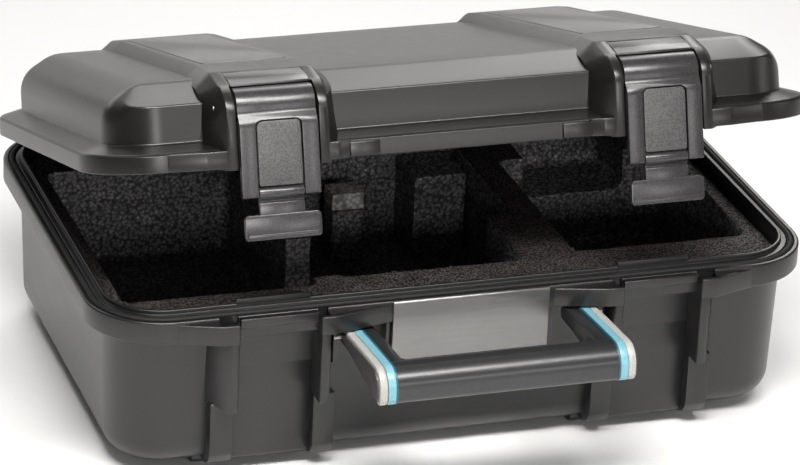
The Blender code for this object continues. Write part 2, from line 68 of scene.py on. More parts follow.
# the hinge's packed position ties the drawing to the frame; the lid stands open by its joint's lower limit
hinge_at = Vector(JOINTS["lid_hinge"]["pos_m"])
SHIFT = hinge_at - Vector((0.0, HINGE_Y * MM, HINGE_Z * MM))
LID_OPEN = -math.radians(JOINTS["lid_hinge"]["range_deg"][0])
TO_WORLD = Matrix.Translation(SHIFT) @ Matrix.Scale(MM, 4)
SWING = Matrix.Translation(hinge_at) @ Matrix.Rotation(-LID_OPEN, 4, "X") @ Matrix.Translation(-hinge_at)


# ---------------------------------------------------------------- shapes
def fillet(points, radii, steps=3, closed=True):
    """Polyline with each corner rounded to its own radius, with the same number of points each."""
    made = []
    count = len(points)
    for i, here in enumerate(points):
        radius = radii[i] if isinstance(radii, (list, tuple)) else radii
        ends = not closed and i in (0, count - 1)
        if ends or radius <= 0:
            made.append(tuple(here))
            continue
        p = Vector(here)
        back, ahead = Vector(points[i - 1]) - p, Vector(points[(i + 1) % count]) - p
        half = back.angle(ahead) / 2
        cut = min(radius / math.tan(half), back.length * 0.48, ahead.length * 0.48)
        radius = cut * math.tan(half)
        centre = p + (back.normalized() + ahead.normalized()).normalized() * (radius / math.sin(half))
        a, b = p + back.normalized() * cut - centre, p + ahead.normalized() * cut - centre
        sweep = a.angle_signed(b)
        for k in range(steps + 1):
            turn = -sweep * k / steps
            c, s = math.cos(turn), math.sin(turn)
            made.append((centre.x + a.x * c - a.y * s, centre.y + a.x * s + a.y * c))
    return made


def arc(cy, cz, radius, start, end, steps):
    angles = [math.radians(start + (end - start) * i / steps) for i in range(steps + 1)]
    return [(cy + radius * math.cos(a), cz + radius * math.sin(a)) for a in angles]


def loft(loops, cap=True):
    bm = bmesh.new()
    rows = [[bm.verts.new(place) for place in loop] for loop in loops]
    for low, high in zip(rows, rows[1:]):
        for i, vertex in enumerate(low):
            j = (i + 1) % len(low)
            bm.faces.new((vertex, low[j], high[j], high[i]))
    if cap:
        bm.faces.new(rows[0])
        bm.faces.new(rows[-1])
    return tidy(bm)


def tidy(bm):
    bmesh.ops.recalc_face_normals(bm, faces=bm.faces)
    if bm.calc_volume(signed=True) < 0:
        bmesh.ops.reverse_faces(bm, faces=bm.faces)
    return bm


def soften(bm, width, segments=2, angle=28.0):
    """Round off every edge sharper than the angle."""
    edges = [e for e in bm.edges if e.is_manifold and e.calc_face_angle(0.0) > math.radians(angle)]
    if width > 0 and edges:
        bmesh.ops.bevel(bm, geom=edges, offset=width, offset_type="OFFSET", segments=segments,
                        profile=0.5, affect="EDGES", clamp_overlap=True)
    return bm


def prism(outline, low, high, axis, edge=0.0):
    """Solid from an outline. axis x takes (y, z), axis y takes (x, z), axis z takes (x, y)."""
    place = {"x": lambda p, d: (d, p[0], p[1]), "y": lambda p, d: (p[0], d, p[1]),
             "z": lambda p, d: (p[0], p[1], d)}[axis]
    bm = loft([[place(p, low) for p in outline], [place(p, high) for p in outline]])
    return soften(bm, edge)


def block(x0, x1, y0, y1, z0, z1, edge=0.0):
    return prism([(x0, y0), (x1, y0), (x1, y1), (x0, y1)], z0, z1, "z", edge)


def rounded(x0, x1, z0, z1, low, high, steps=8):
    return (arc(x1 - high, z1 - high, high, 0, 90, steps)
            + arc(x0 + high, z1 - high, high, 90, 180, steps)
            + arc(x0 + low, z0 + low, low, 180, 270, steps)
            + arc(x1 - low, z0 + low, low, 270, 360, steps))


def rim_loop(width, depth, radius, row, steps=22, smallest=5.0):
    """Rounded rectangle in plan; the corners blend the row's end and side insets and heights."""
    end_in, end_z, side_in, side_z = row if len(row) == 4 else row + row
    loop = []
    for quarter in range(4):
        sx = 1 if quarter in (0, 3) else -1
        sy = 1 if quarter in (0, 1) else -1
        for i in range(steps + 1):
            a = math.radians(90 * (quarter + i / steps))
            nx, ny = math.cos(a), math.sin(a)
            t = min(max((abs(ny) - 0.45) / 0.5, 0.0), 1.0)
            t = t * t * (3 - 2 * t)
            inset = end_in + (side_in - end_in) * t
            reach = max(radius - inset, smallest)
            extra = inset - (radius - reach)
            cx = sx * (width / 2 - radius - extra)
            cy = sy * (depth / 2 - radius - extra)
            loop.append((cx + reach * nx, cy + reach * ny, end_z + (side_z - end_z) * t))
    return loop


def tray(width, depth, radius, rows, steps=22):
    return loft([rim_loop(width, depth, radius, row, steps) for row in rows])


def boolean(bm, others, operation="DIFFERENCE"):
    """Exact Boolean of one bmesh with others; the others are used up."""
    target = scratch(bm)
    for other in others:
        cutter = scratch(other)
        mod = target.modifiers.new("cut", "BOOLEAN")
        mod.operation = operation
        mod.solver = "EXACT"
        mod.object = cutter
        graph = bpy.context.evaluated_depsgraph_get()
        mesh = bpy.data.meshes.new_from_object(target.evaluated_get(graph))
        target.modifiers.clear()
        target.data = mesh
        bpy.data.objects.remove(cutter)
    made = bmesh.new()
    made.from_mesh(target.data)
    bpy.data.objects.remove(target)
    return made


def scratch(bm):
    mesh = bpy.data.meshes.new("scratch")
    tidy(bm)
    bm.to_mesh(mesh)
    bm.free()
    obj = bpy.data.objects.new("scratch", mesh)
    bpy.context.scene.collection.objects.link(obj)
    return obj


def mirrored(bm):
    other = bm.copy()
    bmesh.ops.scale(other, vec=(-1.0, 1.0, 1.0), verts=other.verts)
    return tidy(other)


def pair(bm):
    """The +X shape and its mirror image."""
    return [bm, mirrored(bm)]


def piece(name, shapes, mats, body, replaces=(), lid=False, smooth=33.0):
    """Join finished shapes into one named object and put it on its body."""
    whole = bmesh.new()
    for shape in shapes:
        mesh = bpy.data.meshes.new("part")
        shape.to_mesh(mesh)
        shape.free()
        whole.from_mesh(mesh)
        bpy.data.meshes.remove(mesh)
    whole.transform(SWING @ TO_WORLD if lid else TO_WORLD)
    mesh = bpy.data.meshes.new(name)
    whole.to_mesh(mesh)
    whole.free()
    for mat in mats if isinstance(mats, list) else [mats]:
        mesh.materials.append(mat)
    mesh.shade_smooth()
    mesh.set_sharp_from_angle(angle=math.radians(smooth))
    obj = bpy.data.objects.new(name, mesh)
    bpy.context.scene.collection.objects.link(obj)
    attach(obj, body)
    if replaces:
        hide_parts(*replaces)
    return obj


def span(side, near, far):
    return sorted((side * near, side * far))


# ---------------------------------------------------------------- materials
def new_material(name):
    mat = bpy.data.materials.new(name)
    mat.use_nodes = True
    nodes = mat.node_tree.nodes
    return mat, nodes, mat.node_tree.links, nodes["Principled BSDF"]


def noise_node(nodes, links, scale, detail=3.0, rough=0.6, kind="ShaderNodeTexNoise", stretch=None):
    coords = nodes.new("ShaderNodeTexCoord")
    texture = nodes.new(kind)
    texture.inputs["Scale"].default_value = scale
    if kind == "ShaderNodeTexNoise":
        texture.inputs["Detail"].default_value = detail
        texture.inputs["Roughness"].default_value = rough
    source = coords.outputs["Object"]
    if stretch:
        mapping = nodes.new("ShaderNodeMapping")
        mapping.inputs["Scale"].default_value = stretch
        links.new(source, mapping.inputs["Vector"])
        source = mapping.outputs["Vector"]
    links.new(source, texture.inputs["Vector"])
    return texture


def ramp(nodes, links, source, stops):
    node = nodes.new("ShaderNodeValToRGB")
    while len(node.color_ramp.elements) < len(stops):
        node.color_ramp.elements.new(0.5)
    for element, (position, value) in zip(node.color_ramp.elements, stops):
        element.position = position
        colour = value if isinstance(value, tuple) else (value, value, value)
        element.color = (*colour, 1.0)
    links.new(source, node.inputs["Fac"])
    return node.outputs["Color"]


def mix(nodes, links, kind, factor, first, second):
    node = nodes.new("ShaderNodeMix")
    node.data_type = "RGBA"
    node.blend_type = kind
    if isinstance(factor, float):
        node.inputs["Factor"].default_value = factor
    else:
        links.new(factor, node.inputs["Factor"])
    for socket, value in (("A", first), ("B", second)):
        target = [s for s in node.inputs if s.name == socket and s.type == "RGBA"][0]
        if isinstance(value, tuple):
            target.default_value = (*value, 1.0)
        else:
            links.new(value, target)
    return [s for s in node.outputs if s.type == "RGBA"][0]


def bump(nodes, links, heights):
    """Chain of bumps: (height, strength, distance in metres) each."""
    normal = None
    for height, strength, distance in heights:
        node = nodes.new("ShaderNodeBump")
        node.inputs["Strength"].default_value = strength
        node.inputs["Distance"].default_value = distance
        links.new(height, node.inputs["Height"])
        if normal:
            links.new(normal, node.inputs["Normal"])
        normal = node.outputs["Normal"]
    return normal


def moulded(name, colour, rough, grain=0.35, wear=0.03, speckle=0.25, grain_scale=1500.0, sheen=0.7):
    """Spark-textured moulded plastic: fine grain, faint mottling, and edges rubbed a little paler."""
    mat, nodes, links, shader = new_material(name)
    fine = noise_node(nodes, links, grain_scale, 2.0, 0.65)
    broad = noise_node(nodes, links, 11.0, 4.0, 0.6)
    scuff = noise_node(nodes, links, 95.0, 6.0, 0.75, stretch=(1.0, 0.25, 1.0))
    shader.inputs["Specular IOR Level"].default_value = sheen
    geometry = nodes.new("ShaderNodeNewGeometry")
    edge = ramp(nodes, links, geometry.outputs["Pointiness"], [(0.5, 0.0), (0.56, wear)])
    dark = tuple(c * (1.0 - speckle) for c in colour)
    pale = tuple(c * (1.0 + speckle) for c in colour)
    base = ramp(nodes, links, fine.outputs["Fac"], [(0.36, dark), (0.64, pale)])
    tone = ramp(nodes, links, broad.outputs["Fac"], [(0.3, 0.88), (0.7, 1.0)])
    base = mix(nodes, links, "MULTIPLY", 1.0, base, tone)
    rubbed = tuple(min(c * 2.2 + 0.03, 1.0) for c in colour)
    base = mix(nodes, links, "MIX", edge, base, rubbed)
    links.new(base, shader.inputs["Base Color"])
    worn = ramp(nodes, links, scuff.outputs["Fac"], [(0.3, rough - 0.012), (0.7, rough + 0.018)])
    links.new(worn, shader.inputs["Roughness"])
    normal = bump(nodes, links, [(broad.outputs["Fac"], 0.02, 0.001), (fine.outputs["Fac"], grain, 0.00009)])
    links.new(normal, shader.inputs["Normal"])
    return mat


def rubber(name, colour, rough):
    mat, nodes, links, shader = new_material(name)
    fine = noise_node(nodes, links, 900.0, 3.0, 0.7)
    base = ramp(nodes, links, fine.outputs["Fac"], [(0.3, tuple(c * 0.7 for c in colour)), (0.7, colour)])
    links.new(base, shader.inputs["Base Color"])
    links.new(ramp(nodes, links, fine.outputs["Fac"], [(0.3, rough - 0.06), (0.7, rough + 0.06)]),
              shader.inputs["Roughness"])
    links.new(bump(nodes, links, [(fine.outputs["Fac"], 0.2, 0.0002)]), shader.inputs["Normal"])
    return mat


def bead_foam(name, dark, pale, cell=300.0, sheen=0.5):
    """Closed-cell foam: tight bead texture; the pale cell centres are painted glints, and the cells darken towards
    the pits between them.
    """
    mat, nodes, links, shader = new_material(name)
    cells = noise_node(nodes, links, cell, kind="ShaderNodeTexVoronoi")
    pores = noise_node(nodes, links, cell * 2.7, kind="ShaderNodeTexVoronoi")
    cloud = noise_node(nodes, links, 60.0, 5.0, 0.7)
    # pale cell centres: painted glints on the bead crests
    body = ramp(nodes, links, cells.outputs["Distance"], [(0.16, pale), (0.70, dark)])
    fleck = ramp(nodes, links, cloud.outputs["Fac"], [(0.3, 0.55), (0.72, 1.25)])
    base = mix(nodes, links, "MULTIPLY", 1.0, body, fleck)
    links.new(base, shader.inputs["Base Color"])
    shader.inputs["Specular IOR Level"].default_value = sheen
    links.new(ramp(nodes, links, cells.outputs["Distance"], [(0.1, 0.27), (0.5, 0.7)]),
              shader.inputs["Roughness"])
    lift = [(cloud.outputs["Fac"], 0.5, 0.002), (cells.outputs["Distance"], -0.9, 0.0014),
            (pores.outputs["Distance"], -0.5, 0.0004)]
    links.new(bump(nodes, links, lift), shader.inputs["Normal"])
    return mat


def brushed(name, colour, rough, metallic, stretch):
    """Metal with fine straight brushing."""
    mat, nodes, links, shader = new_material(name)
    lines = noise_node(nodes, links, 420.0, 4.0, 0.7, stretch=stretch)
    cloud = noise_node(nodes, links, 24.0, 3.0, 0.6)
    base = ramp(nodes, links, lines.outputs["Fac"], [(0.3, tuple(c * 0.86 for c in colour)), (0.7, colour)])
    tone = ramp(nodes, links, cloud.outputs["Fac"], [(0.3, 0.92), (0.7, 1.0)])
    links.new(mix(nodes, links, "MULTIPLY", 1.0, base, tone), shader.inputs["Base Color"])
    links.new(ramp(nodes, links, lines.outputs["Fac"], [(0.3, rough - 0.06), (0.7, rough + 0.08)]),
              shader.inputs["Roughness"])
    shader.inputs["Metallic"].default_value = metallic
    links.new(bump(nodes, links, [(lines.outputs["Fac"], 0.12, 0.0001)]), shader.inputs["Normal"])
    return mat


SHELL = moulded("shell_plastic_v", (0.0065, 0.0060, 0.0060), 0.35)
LID_SHELL = moulded("lid_plastic_v", (0.0070, 0.0064, 0.0062), 0.33)
TRIM = moulded("trim_plastic_v", (0.028, 0.0265, 0.028), 0.29, grain=0.45, speckle=0.5, grain_scale=900.0)
BUTTON = moulded("button_plastic_v", (0.062, 0.060, 0.061), 0.40, grain=0.5, speckle=0.5, grain_scale=900.0)
GRIP = moulded("grip_plastic_v", (0.022, 0.022, 0.0235), 0.30, grain=0.3, speckle=0.3)
SIDE = moulded("side_plastic_v", (0.050, 0.048, 0.047), 0.42, grain=0.5, speckle=0.4)
CAP = moulded("cap_white_v", (0.44, 0.43, 0.41), 0.36, grain=0.4, speckle=0.12, wear=0.05, grain_scale=800.0)
BLUE = moulded("stripe_blue_v", (0.19, 0.42, 0.50), 0.36, grain=0.3, speckle=0.10, wear=0.05,
               grain_scale=800.0)
TEAL = moulded("stripe_teal_v", (0.012, 0.10, 0.14), 0.4, grain=0.15, speckle=0.06, wear=0.0)
# near-black rubber for the rim cord: its own black colour, darkened further as painted shade in the rim's groove
GASKET_GROOVE_SHADE = rubber("gasket_rubber_groove_shade_v", (0.0015, 0.0015, 0.0015), 0.7)
# foam for walls, floors, posts and the lid: its pale cell centres are painted glints, kept paler than the tops'
# copy as painted light on the walls
FOAM_PAINTED_GLINT = bead_foam("foam_black_painted_glint_v", (0.0008, 0.0008, 0.0008), (0.20, 0.188, 0.192), 400.0, 1.0)
# darker copy of the foam for the upward faces along the top: painted shade on the foam tops
FOAM_TOP_PAINTED_SHADE = bead_foam("foam_top_painted_shade_v", (0.003, 0.0026, 0.0025), (0.085, 0.074, 0.071), 620.0, 0.15)
PALE = bead_foam("foam_pale_v", (0.20, 0.19, 0.18), (0.62, 0.60, 0.58))
SATIN = brushed("label_satin_v", (0.30, 0.297, 0.293), 0.42, 1.0, (0.04, 1.0, 1.0))
STEEL = brushed("pin_steel_v", (0.55, 0.54, 0.53), 0.32, 1.0, (0.05, 1.0, 1.0))


# ---------------------------------------------------------------- tray
def base_shell():
    low = WALL_IN + WALL_DRAFT
    rows = [(low + EDGE_R, BODY_Z)]
    for k in range(1, 9):
        a = math.radians(90 * k / 8)
        rows.append((low + EDGE_R * (1 - math.sin(a)), BODY_Z + EDGE_R * (1 - math.cos(a))))
    section = [(WALL_IN, 101.4), (0.0, 103.4), (0.0, RIM_Z), (3.4, RIM_Z), (3.4, 114.4), (8.6, 114.4),
               (8.6, RIM_Z), (12.4, RIM_Z), (12.5, 122.0), (14.5, 122.0), (15.4, RIM_Z), (17.6, 60.0),
               (18.0, 12.0), (32.0, 10.0)]
    radii = [1.6, 1.4, 1.3, 0.5, 0.4, 0.4, 0.6, 0.4, 0.7, 0.7, 0.4, 6.0, 10.0, 0.0]
    rows += fillet([rows[-1], *section], [0.0, *radii], 3, closed=False)[1:]
    shell = tray(WIDTH, DEPTH, RIM_R, rows)
    notches = []
    for x0, x1 in ((98.6, 105.6), (159.0, 172.0)):
        notches += pair(block(x0, x1, -168.4, -160.4, 112.6, 125.0))
    shell = boolean(shell, notches)
    shapes = [shell]
    # the rim band runs out to the fins on both sides of each latch
    outer = fillet([(159.8, -160.6), (159.8, FIN_Y), (171.0, FIN_Y), (201.0, -162.4), (201.0, -160.6)],
                   [0, 1.4, 24.0, 0, 0], 5)
    boss = boolean(prism(outer, 102.8, BOSS_Z, "z"), [block(150.0, 172.0, -168.4, -150.0, 112.6, 125.0)])
    shapes += pair(soften(boss, 0.9, 3, 35))
    inner = fillet([(105.0, -160.6), (105.0, FIN_Y), (95.0, FIN_Y), (56.6, -162.6), (56.6, -160.6)],
                   [0, 1.4, 30.0, 0, 0], 5)
    boss = boolean(prism(inner, 103.4, BOSS_Z, "z"), [block(98.6, 110.0, -168.4, -150.0, 112.6, 125.0)])
    shapes += pair(soften(boss, 0.9, 3, 35))

    def skid(centre):
        half = [(7.5, 0.0), (10.6, 0.7), (12.4, 2.6), (13.0, 5.0), (13.0, 9.0)]
        section = half + [(-x, z) for x, z in reversed(half)]
        ends = [(0.0, 0.84, 5.4), (1.6, 0.9, 3.2), (4.0, 0.95, 1.4), (7.0, 0.985, 0.4), (11.0, 1.0, 0.0)]
        rows = [(-138 + y, s, z) for y, s, z in ends] + [(138 - y, s, z) for y, s, z in reversed(ends)]
        return loft([[(centre + x * s, y, max(z, floor)) for x, z in section] for y, s, floor in rows])

    # the wall's outside, from the band down and round the lower edge
    root = [(-146.0, 54.0), (-145.8, 24.0), (-143.7, 15.4), (-138.2, 9.6), (-131.0, 7.6)]
    for centre in (170.0, 96.0):
        shapes += pair(skid(centre))
    front = FIN_Y + 0.12
    outer = fillet([(159.9, -148.0), (159.9, front), (166.0, front), (177.0, PANEL_Y), (177.0, -148.0)],
                   [0, 1.8, 1.8, 1.2, 0], 4)
    shapes += pair(prism(outer, FIN_Z0, FIN_TOP, "z", 0.9))
    web = [(166.5, 104.0), (184.0, 104.0), *arc(178.5, 91.0, 12.0, 90, 180, 6)]
    shapes += pair(prism(web, -165.0, -149.0, "y", 0.3))
    inner = fillet([(98.0, -148.0), (98.0, front), (104.9, front), (104.9, -148.0)], [0, 1.8, 1.8, 0], 4)
    shapes += pair(prism(inner, FIN_Z0, FIN_TOP, "z", 0.9))
    lower = fillet([(BLOCK_Y, 55.0), *root, (-131.0, 6.6), (-146.0, 6.6), (-155.0, 11.0), (BLOCK_Y, 17.0)],
                   [1.2, 0, 0, 0, 0, 0, 0, 5.0, 5.0, 5.0], 4)
    for x0, x1 in ((159.9, 175.2), (90.5, 104.9)):
        shapes += pair(prism(lower, x0, x1, "x", 1.2))
    panel = fillet([(PANEL_Y, 100.0), (-147.0, 101.0), *root, (-131.0, 7.0), (-146.0, 7.0), (PANEL_Y, 10.5)],
                   [1.5, 0, 0, 0, 0, 0, 0, 0, 2.0, 3.0], 4)
    shapes += pair(prism(panel, 104.0, 160.5, "x", 0.6))
    lip = fillet([(-167.2, 112.4), (-160.0, 108.6), (-160.0, 118.4), (-167.2, 118.4)], [0.8, 0, 0, 0.8], 3)
    shapes += pair(prism(lip, 106.2, 158.4, "x", 0.4))
    shapes += pair(block(107.0, 157.4, -150.5, -148.6, 118.0, 125.3, 0.5))
    knuckle = arc(HINGE_Y, HINGE_Z, HINGE_R, -90, 120, 20) + [(161.0, 119.0), (161.0, 104.0)]
    for x0 in (106.0, 145.0):
        shapes += pair(prism(knuckle, x0, x0 + 14.0, "x", 0.5))
    # frame that the handle swings in: centre, a bar over the pockets, and their outer walls
    profile = [(FRAME_Y, 78.0), (-146.0, 74.5), (-146.0, 113.6), (FRAME_Y, 113.6)]
    frame_block = prism(profile, -94.2, 94.2, "x")
    pockets = pair(block(58.0, 90.2, -175.0, -149.8, 60.0, 103.4))
    frame_block = boolean(frame_block, pockets + [block(-55.0, 55.0, -175.0, -160.4, 60.0, 130.0)])
    shapes.append(soften(frame_block, 1.0, 3))
    piece("tray_shell", shapes, SHELL, "base", ["base_shell"])


def base_trim():
    loops = []
    for k in range(10):
        a = 2 * math.pi * k / 10
        loops.append(rim_loop(WIDTH, DEPTH, RIM_R, (6.0 + 2.3 * math.cos(a), 117.7 + 2.3 * math.sin(a))))
    loops.append(loops[0])
    cord = loft(loops, cap=False)
    bmesh.ops.remove_doubles(cord, verts=cord.verts, dist=0.001)
    piece("rim_cord", [tidy(cord)], GASKET_GROOVE_SHADE, "base", ["rim_gasket"])
    outline = fillet([(-164.6, 76.4), (-160.5, 76.4), (-160.5, 118.9), (-164.6, 118.9)],
                     [0.8, 0, 0, 1.6], 4)
    plate = prism(outline, -54.2, 54.2, "x", 0.4)
    piece("label", [plate], SATIN, "base", ["label_plate"])


# ---------------------------------------------------------------- lid
def lid_shell():
    # wall sections at the ends and along the sides, from the top's middle down, under and up inside
    end = [(70.0, LID_TOP), (39.0, 175.0), (16.4, 161.0), (16.0, 137.6), (1.4, 133.4), (0.0, 132.0),
           (0.0, LID_Z), (11.3, LID_Z), (11.3, 127.6), (19.8, 127.6), (19.9, 158.0), (41.0, 171.4), (70.0, 172.0)]
    end_r = [0, 26.0, 20.0, 1.6, 1.0, 0.7, 1.0, 0.8, 0.5, 0.8, 12.0, 20.0, 0]
    side = [(70.0, LID_TOP), (43.0, 175.0), (16.3, 162.2), (16.0, 137.6), (1.4, 133.4), (0.0, 132.0),
            (0.0, LID_Z), (11.3, LID_Z), (11.3, 127.6), (19.8, 127.6), (19.9, 158.0), (42.0, 171.4), (70.0, 172.0)]
    side_r = [0, 16.0, 1.6, 1.6, 1.0, 0.7, 1.0, 0.8, 0.5, 0.8, 8.0, 16.0, 0]
    rows = [a + b for a, b in zip(fillet(end, end_r, 6, closed=False), fillet(side, side_r, 6, closed=False))]
    shell = tray(LID_W, LID_D, LID_R, rows)
    shapes = [boolean(shell, pair(recess(3.0)))]
    boss = fillet([(-166.6, 121.4), (-160.0, 121.4), (-160.0, 132.4), (-166.6, 131.0)], [0.8, 0, 0, 0.8], 3)
    shapes += pair(prism(boss, 63.0, 83.0, "x", 0.8))
    outline = fillet([(164.0, -161.0), (164.0, -170.6), (180.0, -170.2), (205.0, -164.3), (205.0, -161.0)],
                     [0, 0, 14.0, 8.0, 0], 4)
    shapes += pair(prism(outline, LID_Z + 0.2, 132.8, "z", 0.9))
    outline = fillet([(100.0, -161.0), (100.0, -170.6), (91.0, -170.2), (82.2, -165.6), (82.2, -161.0)],
                     [0, 0, 6.0, 1.2, 0], 4)
    shapes += pair(prism(outline, LID_Z + 0.2, 132.8, "z", 0.9))
    tab = arc(HINGE_Y, HINGE_Z, HINGE_R, -150, 60, 20) + [(176.0, 129.0), (163.0, 131.0), (163.0, 121.6)]
    shapes += pair(prism(tab, 120.6, 144.4, "x", 0.5))
    piece("lid_dome", shapes + bands(), LID_SHELL, "lid", ["lid_shell"], lid=True)


def recess(deeper=0.0):
    """Channel down the band's front that the latch lies in."""
    half = LATCH_HALF + 1.7 + deeper
    reach = RECESS_R + 0.2 + deeper
    y = -166.6 + deeper
    low = 360 - math.degrees(math.acos((y - PIVOT_Y) / reach))
    outline = [(-185.0, 112.0), (y, 112.0), *arc(PIVOT_Y, PIVOT_Z, reach, low, 450.0, 40),
               (PIVOT_Y - 0.2, 190.0), (-185.0, 190.0)]
    return prism(outline, LATCH_X - half, LATCH_X + half, "x")


def bands():
    """Raised strips over the lid that carry the latches."""
    face = fillet([(-171.0, 119.8), (-171.0, 162.0), (-160.0, 172.0), (-136.0, 180.0), (-108.0, BAND_Z),
                   (98.0, BAND_Z), (128.0, 180.4), (149.0, 172.0), (156.0, 156.0), (157.0, 134.0)],
                  [0, 14.0, 30.0, 40.0, 60.0, 60.0, 40.0, 30.0, 20.0, 0], 6, closed=False)
    root = fillet([(-160.5, 121.2), (-148.0, 150.0), (-146.0, 165.0), (-134.0, 171.0), (-106.0, 173.6),
                   (98.0, 173.6), (124.0, 172.6), (139.0, 169.0), (146.5, 156.0), (147.0, 137.0)],
                  [0, 14.0, 10.0, 20.0, 30.0, 30.0, 20.0, 10.0, 10.0, 0], 6, closed=False)
    loops = []
    for f, r in zip(face, root):
        edge = [(87.5, *r), (97.4, f[0] * 0.93 + r[0] * 0.07, f[1] * 0.93 + r[1] * 0.07), (98.6, *f)]
        far = [(2 * LATCH_X - x, y, z) for x, y, z in reversed(edge)]
        loops.append(edge + far)
    band = loft(loops)
    housing = prism(arc(PIVOT_Y, PIVOT_Z, RECESS_R + 3.6, -120, 70, 24), 99.0, 165.0, "x")
    cover = [(-157.2, 171.3), (-149.0, 174.1), (-136.6, 177.0), (-136.6, 190.0), (-157.2, 190.0)]
    cuts = [recess(), prism(cover, LATCH_X - 26.6, LATCH_X + 26.6, "x"),
            block(102.8, 161.2, -97.4, 98.4, BAND_Z - 2.0, 190.0)]
    band = boolean(boolean(band, [housing], "UNION"), cuts)
    return pair(soften(band, 0.5, 2, 50))


def lid_trim(side, tag):
    low, high = span(side, 103.1, 160.9)
    outline = fillet([(low, -97.1), (high, -97.1), (high, 98.1), (low, 98.1)], 3.0, 5)
    plate = prism(outline, BAND_Z - 1.9, BAND_Z + 0.3, "z", 0.35)
    piece(f"cover_plate_{tag}", [plate], TRIM, "lid", [f"band_plate_{tag}"], lid=True)
    low, high = span(side, LATCH_X - 26.3, LATCH_X + 26.3)
    strip = fillet([(-156.8, 173.2), (-149.0, 176.2), (-137.0, 179.2), (-137.0, 177.2), (-149.0, 174.3),
                    (-156.8, 171.6)], [0.7, 20.0, 0.7, 0.3, 20.0, 0.3], 4)
    piece(f"barrel_cover_{tag}", [prism(strip, low, high, "x", 0.3)], TRIM, "lid",
          [f"latch_cover_{tag}"], lid=True)


# ---------------------------------------------------------------- latches
def latch(side, tag):
    low, high = span(side, LATCH_X - LATCH_HALF, LATCH_X + LATCH_HALF)
    back = ARM_Y + ARM_T
    barrel = arc(PIVOT_Y, PIVOT_Z, BARREL_R, 92, 178, 30)
    front = fillet([barrel[-1], (-169.1, 155.6), (ARM_Y, 148.8), (ARM_Y, ARM_Z0), (back, ARM_Z0),
                    (back, 152.2)],
                   [0, 6.0, 9.0, 1.8, 0.6, 0], 8, closed=False)[1:]
    outline = barrel + front + arc(PIVOT_Y, PIVOT_Z, HUB_R, 232, 438, 24)
    arm = prism(outline, low, high, "x")
    left, right = span(side, LATCH_X - 15.6, LATCH_X + 15.6)
    window = prism(rounded(left, right, 90.0, 150.9, 1.0, 4.4), -180.0, -164.0, "y")
    arm = boolean(arm, [window])
    soften(arm, 0.7, 3, 40)
    bodies = f"latch_{tag}"
    piece(f"draw_arm_{tag}", [arm], TRIM, bodies, [f"latch_arm_{tag}"], lid=True)
    face_low, face_high = span(side, LATCH_X - 14.6, LATCH_X + 14.6)
    face = prism(rounded(face_low, face_high, 108.2, 149.9, 1.5, 3.8), ARM_Y + 0.5, ARM_Y + 3.7, "y", 0.6)
    piece(f"release_button_{tag}", [face], BUTTON, f"button_{tag}",
          [f"latch_button_{tag}"], lid=True)
    low, high = span(side, LATCH_X - 25.8, LATCH_X + 25.8)
    tab = prism(rounded(low, high, 73.5, 90.0, 2.6, 3.4), ARM_Y + 0.4, ARM_Y + 4.3, "y", 0.9)
    lip = prism(rounded(low + 2.0, high - 2.0, 74.6, 77.4, 1.0, 1.0), ARM_Y + 0.0, ARM_Y + 2.0, "y", 0.4)
    neck_low, neck_high = span(side, LATCH_X - 15.0, LATCH_X + 15.0)
    neck = [(ARM_Y + 0.9, 86.0), (ARM_Y + 4.2, 86.0), (ARM_Y + 5.6, 99.0),
            *arc(LEVER_Y, LEVER_Z, KNUCKLE_R, -38, 248, 26), (ARM_Y + 3.4, 98.4), (ARM_Y + 1.1, 97.2)]
    piece(f"pull_lever_{tag}", [tab, lip, prism(neck, neck_low, neck_high, "x", 0.4)], TRIM,
          f"lever_{tag}", [f"latch_lever_{tag}"], lid=True)


# ---------------------------------------------------------------- handle
def nose(shrink):
    return (arc(-229.5, 94.0, 13.4 - shrink, 85, 180, 12)
            + arc(-237.2, 89.3, 5.8 - shrink, 180, 262, 8))


def arm_side(shrink):
    top = [(-175.0, 103.0 - shrink), (-200.0, 105.3 - shrink)]
    under = [(-224.0, 85.4 + shrink), (-203.0, 88.0 + shrink), (-180.0, 91.0 + shrink)]
    return arc(HANDLE_Y, HANDLE_Z, HUB_R - shrink, 262, 450, 24) + top + nose(shrink) + under


def handle():
    grip_outline = nose(0.4) + arc(-226.5, 92.2, 7.6, 270, 360, 8) + arc(-226.5, 99.5, 7.6, 0, 90, 8)
    bar = prism(grip_outline, -GRIP_X, GRIP_X, "x", 0.0)
    shapes = [bar]
    for side, _ in SIDES:
        low, high = span(side, 66.0, GRIP_X)
        shapes.append(prism(arm_side(0.75), low, high, "x", 1.2))
        low, high = span(side, 56.0, 68.0)
        flare = [(low if side > 0 else high, -219.0), (high if side > 0 else low, -219.0),
                 (high if side > 0 else low, -206.0)]
        shapes.append(prism(flare, 89.5, 102.0, "z", 0.8))
    piece("grip", shapes, GRIP, "handle", ["handle_grip"])
    layers = (("stripe", GRIP_X + 0.1, STRIPE_X + 0.1, 0.0, BLUE, "stripe_blue", 0.3),
              ("cap", STRIPE_X + 0.2, CAP_X + 0.1, 0.0, CAP, "cap_white", 1.4),
              ("side", CAP_X - 0.4, SIDE_X, 2.2, SIDE, "grip_plastic", 0.6))
    for side, tag in SIDES:
        low, high = span(side, GRIP_X - 0.2, GRIP_X + 1.3)
        piece(f"stripe_edge_{tag}", [prism(arm_side(-0.15), low, high, "x", 0.2)], TEAL, "handle")
        for name, near, far, shrink, mat, slot, edge in layers:
            low, high = span(side, near, far)
            piece(f"{name}_{tag}", [prism(arm_side(shrink), low, high, "x", edge)], mat, "handle",
                  [f"handle_{name}_{tag}"])


# ---------------------------------------------------------------- foam
BAY_Z, TOP_Z, OVER = 42.0, 112.4, 125.0


